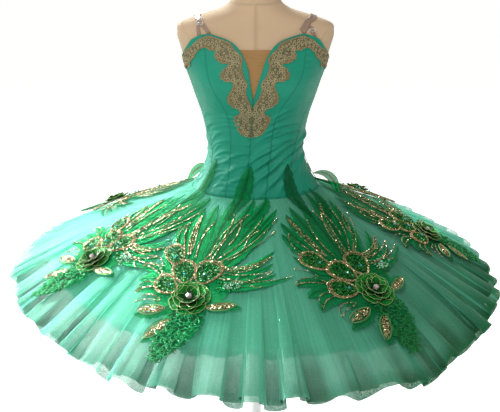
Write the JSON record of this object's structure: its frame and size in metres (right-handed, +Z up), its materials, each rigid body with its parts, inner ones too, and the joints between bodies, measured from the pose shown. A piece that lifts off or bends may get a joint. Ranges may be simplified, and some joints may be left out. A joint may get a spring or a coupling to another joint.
{
  "type": "ballet tutu on a limbless dress form",
  "caption": "Ballet tutu with a panelled satin bodice, gold lace neckline, drooping layered net skirt and beaded lace appliques, on a limbless dress form with a round base.",
  "frame": {"origin": "middle of the round base's underside, on the floor", "axes": "+Z up along the pole, -Y towards the garment's front, +X to the right of someone facing the front"},
  "size_m": [1.1723, 1.1775, 1.4453],
  "materials": {
    "form_linen": "matte natural linen cover",
    "stand_metal": "brushed steel",
    "cap_wood": "satin varnish",
    "bodice_satin": "sea green stretch satin, soft sheen",
    "nude_mesh": "matte nude mesh, lightly gathered",
    "gold_lace": "metallic gold corded lace",
    "strap_satin": "nude satin elastic",
    "slider_metal": "polished",
    "long_net": "sheer stiff net, pale aqua green",
    "short_net": "dense stiff net, sea green",
    "applique_lace": "sequined lace, dark green and gold",
    "rose_organza": "dark green organza, gold edges"
  },
  "bodies": {
    "root": {"form_torso": "form_linen", "neck_cap": "cap_wood", "stand_pole": "stand_metal", "stand_base": "stand_metal", "bodice_front_centre_left": "bodice_satin", "bodice_front_centre_right": "bodice_satin", "bodice_side_front_left": "bodice_satin", "bodice_side_front_right": "bodice_satin", "bodice_side_left": "bodice_satin", "bodice_side_right": "bodice_satin", "bodice_side_back_left": "bodice_satin", "bodice_side_back_right": "bodice_satin", "bodice_back_centre_left": "bodice_satin", "bodice_back_centre_right": "bodice_satin", "binding_left": "bodice_satin", "binding_right": "bodice_satin", "back_placket": "bodice_satin", "hip_yoke": "bodice_satin", "neckline_insert": "nude_mesh", "lace_trim_left": "gold_lace", "lace_trim_right": "gold_lace", "strap_left": "strap_satin", "strap_right": "strap_satin", "strap_left_outer_leg": "strap_satin", "strap_left_inner_leg": "strap_satin", "strap_right_outer_leg": "strap_satin", "slider_left": "slider_metal", "slider_right": "slider_metal", "overlay_net": "long_net", "long_net": "long_net", "short_net": "short_net", "stiff_net": "short_net", "applique_1": "applique_lace", "applique_2": "applique_lace", "applique_3": "applique_lace", "applique_4": "applique_lace", "applique_5": "applique_lace", "applique_6": "applique_lace", "applique_7": "applique_lace", "rose_1": "rose_organza", "rose_2": "rose_organza", "rose_3": "rose_organza", "rose_4": "rose_organza", "rose_5": "rose_organza", "rose_6": "rose_organza", "rose_7": "rose_organza"}
  },
  "joints": []
}
